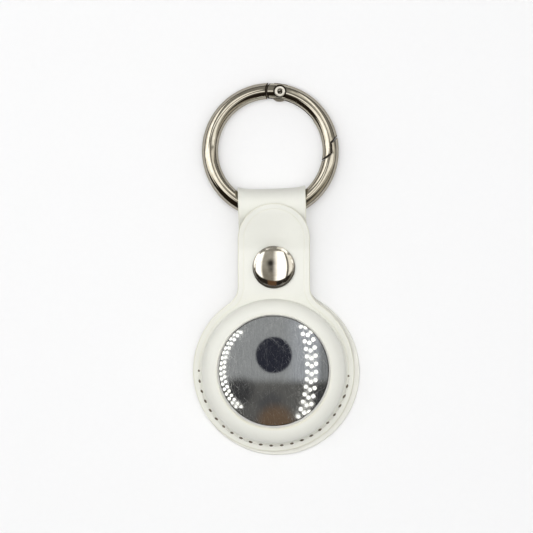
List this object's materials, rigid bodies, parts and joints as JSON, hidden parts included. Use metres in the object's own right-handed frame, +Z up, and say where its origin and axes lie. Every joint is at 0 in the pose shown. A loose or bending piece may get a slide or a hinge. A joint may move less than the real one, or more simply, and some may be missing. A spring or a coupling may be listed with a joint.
{
  "type": "tracker tag holder",
  "caption": "Leather key fob that holds a coin-shaped tracker tag behind a round window, with a snap-closed flap and a swinging spring-gate ring.",
  "frame": {"origin": "on the back panel's outer face, under the middle of the tag pocket", "axes": "+Z up out of the back through the window, +Y along the neck to the ring, +X to the right as seen from the front"},
  "size_m": [0.0392, 0.0876, 0.0102],
  "materials": {
    "leather": "smooth off-white coated leather",
    "lining": "matte suede-like lining",
    "thread": "waxed off-white thread",
    "nickel": "polished nickel plate",
    "spring_steel": "drawn wire",
    "cover_steel": "polished, finely scratched",
    "cell_steel": "plain nickel-plated can",
    "plastic": "glossy white",
    "board": "solder-masked laminate",
    "magnet": "nickel-plated ferrite",
    "copper": "bare copper alloy"
  },
  "bodies": {
    "case": {"back_panel": "leather", "back_lining": "lining", "front_pocket": "leather", "pocket_lining": "lining", "stitches_front": "thread", "stitches_back": "thread", "snap_stud": "nickel", "snap_post": "nickel"},
    "flap": {"front_flap": "leather", "flap_lining": "lining", "snap_cap": "nickel", "snap_socket": "nickel", "snap_spring": "spring_steel"},
    "ring": {"ring_body": "nickel", "gate_pin": "nickel"},
    "gate": {"ring_gate": "nickel", "gate_spring": "spring_steel"},
    "tag": {"tag_shell": "plastic", "tag_body": "plastic", "coin_cell": "cell_steel", "circuit_board": "board", "speaker_magnet": "magnet", "voice_coil": "copper", "battery_contacts": "copper"},
    "cover": {"battery_cover": "cover_steel"}
  },
  "joints": [
    {"name": "flap_open", "type": "hinge", "parent": "case", "child": "flap", "pos_m": [0, 0.0006, 0.01005], "axis": [1, 0, 0], "range_deg": [0, 60]},
    {"name": "ring_swing", "type": "hinge", "parent": "case", "child": "ring", "pos_m": [-0.00044, 0.03909, 0.00436], "axis": [0.9996, 0.0297, 0], "range_deg": [-120, 145]},
    {"name": "gate_open", "type": "hinge", "parent": "ring", "child": "gate", "pos_m": [0.00143, 0.06574, 0.00196], "axis": [-0.0027, 0.0897, 0.996], "range_deg": [-28, 0], "stiffness_Nm_per_rad": 0.01, "springref_deg": 20.05},
    {"name": "tag_spin", "type": "hinge", "parent": "case", "child": "tag", "pos_m": [0, 0.00012, 0], "axis": [0, 0, 1], "continuous": true},
    {"name": "cover_twist", "type": "hinge", "parent": "tag", "child": "cover", "pos_m": [0, 0.00012, 0], "axis": [0, 0, 1], "range_deg": [0, 25]}
  ]
}
